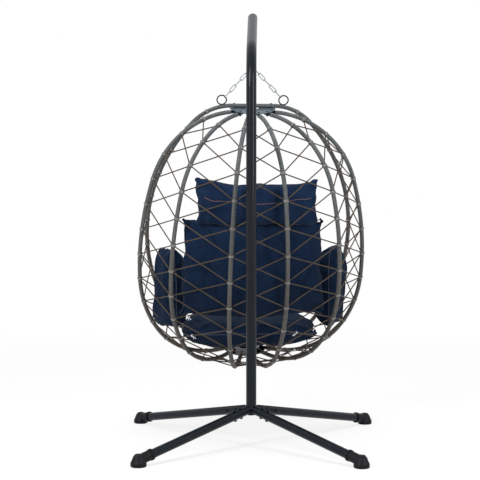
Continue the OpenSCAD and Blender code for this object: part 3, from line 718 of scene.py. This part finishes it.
def drawn_folds(pad, size, depth, seed, ear, form):
    """Corners drawn out into ears, folds that fan from them, soft slumps and sharp creases between."""
    half_w, half_h = size[0] / 2, size[1] / 2
    pad.data.update()
    normals = [v.normal.copy() for v in pad.data.vertices]
    for vertex, normal in zip(pad.data.vertices, normals):
        p = vertex.co.copy()
        u, v = p.x / half_w, p.z / half_h
        corner = min(1.0, abs(u)) ** 6 * min(1.0, abs(v)) ** 6
        fan = 0.0
        for side in (-1, 1):
            for end in (-1, 1):
                dx, dz = half_w - p.x * side, half_h - p.z * end
                turned = atan2(dz, dx) * 8.0 + 2.2 * noise.noise(Vector((p.x * 7, seed, p.z * 7)))
                fan += sin(turned + seed * side + end) * exp(-hypot(dx, dz) / 0.11)
        slump = noise.noise(Vector((p.x * 4.5 + seed, p.y * 3, p.z * 6.5)))
        drape = noise.noise(Vector((p.x * 12 + 3 * slump + seed, p.y * 4, p.z * 2.6 + p.x * 2)))
        near = Vector((p.x * 9 + seed + 1.5 * slump, p.y * 5, p.z * 2.4))
        crease = (1 - abs(noise.noise(near))) ** 7 + 0.6 * (1 - abs(noise.noise(near * 2.3))) ** 6
        small = noise.noise(Vector((p.x * 24, p.y * 20 + seed, p.z * 30)))
        lift = depth * (1.0 * fan + 2.2 * slump + 1.2 * drape - 0.8 * crease + 0.2 * small)
        p = form(p, u, v)
        vertex.co = p + normal * lift + Vector((u * ear, 0, v * ear * 0.8)) * corner


def rim_points(size, shape, count=220):
    """The places round a case's seam, closer together at its corners."""
    path = []
    for i in range(count):
        t = 4.0 * i / count
        leg, f = int(t), (t - int(t)) * 2 - 1
        f = sin(pi / 2 * f)
        u, v = ((f, -1), (1, f), (-f, 1), (-1, -f))[leg]
        path.append(case_point(u, v, 0, size, *shape))
    return path


def closed_cord(name, path, radius, material, sides=8):
    """A round cord whose path comes back to its start."""
    points, faces, uvs = [], [], []
    count = len(path)
    normal = None
    travelled = 0.0
    for i, p in enumerate(path):
        step = path[(i + 1) % count] - path[i - 1]
        if step.length < radius * 0.2:
            # at a sharp corner both neighbours may be the same place
            ahead = (path[(i + k) % count] - p for k in range(1, count))
            step = next(way for way in ahead if way.length > radius)
        heading = step.normalized()
        normal = heading.orthogonal() if normal is None else normal
        normal = (normal - heading * normal.dot(heading)).normalized()
        side = heading.cross(normal)
        for k in range(sides):
            a = 2 * pi * k / sides
            points.append(p + (normal * cos(a) + side * sin(a)) * radius)
    # the frame may come back turned, so the last ring joins the first at the nearest corner
    gaps = [(points[(count - 1) * sides] - points[k]).length for k in range(sides)]
    twist = gaps.index(min(gaps))
    for i in range(count):
        step = (path[(i + 1) % count] - path[i]).length
        low, high = i * sides, ((i + 1) % count) * sides
        extra = twist if i == count - 1 else 0
        for k in range(sides):
            faces.append((low + k, low + (k + 1) % sides,
                          high + (k + 1 + extra) % sides, high + (k + extra) % sides))
            uvs += strip_uvs(k, sides, travelled, step)
        travelled += step
    return mesh_piece(name, points, faces, material, uvs)


def in_basket(x, y, z, tilt=0, turn=0):
    """A place below the hoop's top, tilted about the basket's cross axis and turned about its upright one."""
    return TO_BASKET @ Matrix.Translation((x, y, z)) @ Matrix.Rotation(radians(turn), 4, "Z") \
        @ Matrix.Rotation(radians(tilt), 4, "X")


def lay_on(tree, path, radius):
    """Draws a path to the nearest places on a case's cloth, nearly half sunk in it."""
    found = (tree.find_nearest(p) for p in path)
    return [spot + normal * radius * 0.25 for spot, normal, _, _ in found]


def sew_piping(name, place, tree, path):
    laid = [tree.find_nearest(p)[0] for p in path]
    count = len(laid)
    eased = [(laid[i - 1] + laid[i] * 2 + laid[(i + 1) % count]) / 4 for i in range(count)]
    cord = closed_cord("piping_" + name, lay_on(tree, eased, PIPING_R), PIPING_R, PIPING)
    cord.data.transform(place)
    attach(cord, "basket")


def sew_binding(name, place, tree, size, shape):
    """The narrow band across the back of the head pillow, which sags in its middle."""
    half, count = 0.252, 60
    line = []
    for i in range(count + 1):
        x = half * (2 * i / count - 1)
        v = 0.12 - 0.22 * cos(x * 5.6)
        line.append(case_point(x / (size[0] / 2), v, -1, size, *shape) + Vector((0, -0.03, 0)))
    line = [tree.find_nearest(p)[0] for p in line]
    points, faces, uvs = [], [], []
    tube_along(lay_on(tree, line, BINDING_R), BINDING_R, 8, points, faces, uvs)
    band = mesh_piece("binding_" + name, points, faces, STRAP, uvs)
    band.data.transform(place)
    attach(band, "basket")


def make_cushion(name, place, size, shape, fold, seed, ear, form, cloth=COTTON):
    """size: width, height, thickness; shape: sides drawn in, corners rounded, radius of its bend."""
    pad = stuffed_case("stuffed_" + name, size, shape)
    drawn_folds(pad, size, fold, seed, ear, form)
    clothe(pad, cloth)
    tree = BVHTree.FromObject(pad, bpy.context.evaluated_depsgraph_get())
    seam = rim_points((size[0] * 0.99, size[1] * 0.99, size[2]), shape)
    sew_piping(name, place, tree, [form(p, p.x / size[0] * 2, p.z / size[1] * 2) for p in seam])
    if name == "head_pillow":
        sew_binding(name, place, tree, size, shape)
    pad.data.transform(place)
    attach(pad, "basket")
    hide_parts(name)


make_cushion("head_pillow", in_basket(0, -0.262, -0.443, tilt=6), size=(0.57, 0.185, 0.11),
             shape=(0.02, 0, 0.9), fold=0.0062, seed=3.1, ear=0.009, form=head_form)
make_cushion("back_cushion", in_basket(-0.012, -0.194, -0.746, tilt=6), size=(0.70, 0.44, 0.12),
             shape=(0.03, 0, 0.64), fold=0.0095, seed=7.7, ear=0.012, form=back_form)
make_cushion("seat_cushion", in_basket(0, 0.184, -1.068, tilt=98), size=(0.69, 0.55, 0.115),
             shape=(0.02, 0.7, 0), fold=0.006, seed=12.3, ear=0.004, form=seat_form, cloth=COTTON_FLAT)
for side, way, seed in (("left", -1, 18.9), ("right", 1, 23.4)):
    make_cushion("arm_bolster_" + side, in_basket(way * 0.398, 0.068, -0.85, turn=way * 68),
                 size=(0.26, 0.36, 0.09), shape=(0.02, 0.3, 0), fold=0.0065, seed=seed, ear=0.008,
                 form=bolster_form)


# ---- camera and studio ----
SKY_LIGHT = 0.32        # what the white surroundings give as light, of what is seen of them

camera = bpy.data.objects.new("camera", bpy.data.cameras.new("camera"))
scene.collection.objects.link(camera)
camera.location = (0.0662, POST_Y - 5.4998, 1.09)
camera.rotation_euler = (radians(88.0), 0, radians(1.2))
camera.data.lens = 94.95
camera.data.sensor_width = 36.0
camera.data.clip_end = 60.0
scene.camera = camera
scene.view_settings.view_transform = "Standard"


def seen_rays(tree):
    """One where a ray comes straight from the camera, or by way of metal or glass."""
    path = tree.nodes.new("ShaderNodeLightPath")
    camera_ray, glossy, through = (Shade(tree, path.outputs["Is %s Ray" % kind])
                                   for kind in ("Camera", "Glossy", "Transmission"))
    return camera_ray.maths("MAXIMUM", camera_ray.maths("MAXIMUM", camera_ray, glossy), through)


floor_paint = bpy.data.materials.new("pale_floor")
floor_paint.use_nodes = True
floor_tree = floor_paint.node_tree
floor_shader = floor_tree.nodes["Principled BSDF"]
floor_shader.inputs["Base Color"].default_value = (0.86, 0.86, 0.86, 1)
floor_shader.inputs["Roughness"].default_value = 0.8
glow = floor_tree.nodes.new("ShaderNodeEmission")
glow.inputs["Strength"].default_value = 1.0
spot = Shade(floor_tree, floor_tree.nodes.new("ShaderNodeTexCoord").outputs["Object"])
distance = spot.node("ShaderNodeVectorMath", "Value", {0: spot}, operation="LENGTH")
# the shadow shows under the chair, and the far floor fades into white
seen = seen_rays(floor_tree) * distance.ramp(1.0, 4.5, 0.78, 1.0)
both = floor_tree.nodes.new("ShaderNodeMixShader")
floor_tree.links.new(seen.socket, both.inputs[0])
floor_tree.links.new(floor_shader.outputs[0], both.inputs[1])
floor_tree.links.new(glow.outputs[0], both.inputs[2])
floor_tree.links.new(both.outputs[0], floor_tree.nodes["Material Output"].inputs[0])
bpy.ops.mesh.primitive_plane_add(size=30, location=(0, 0, 0))
floor = bpy.context.object
floor.name = "studio_floor"
clothe(floor, floor_paint)

world = bpy.data.worlds.new("studio")
scene.world = world
world.use_nodes = True
sky = world.node_tree.nodes["Background"]
sky.inputs["Color"].default_value = (1, 1, 1, 1)
brightness = seen_rays(world.node_tree) * (1 - SKY_LIGHT) + SKY_LIGHT
world.node_tree.links.new(brightness.socket, sky.inputs["Strength"])


def softbox(name, place, target, size, power, mirrored=True):
    lamp = bpy.data.objects.new(name, bpy.data.lights.new(name, "AREA"))
    scene.collection.objects.link(lamp)
    lamp.location = place
    lamp.rotation_euler = (Vector(target) - Vector(place)).to_track_quat("-Z", "Y").to_euler()
    lamp.data.shape = "RECTANGLE"
    lamp.data.size, lamp.data.size_y = size
    lamp.data.energy = power
    lamp.visible_glossy = mirrored


softbox("key_softbox", (-2.6, -3.4, 3.4), (0, 0, 0.9), (0.8, 2.6), 160)
softbox("fill_softbox", (3.0, -3.0, 2.4), (0, 0, 0.9), (0.6, 2.6), 85)
softbox("top_softbox", (0, 0.8, 4.2), (0, 0, 0.6), (2.5, 2.5), 130, mirrored=False)
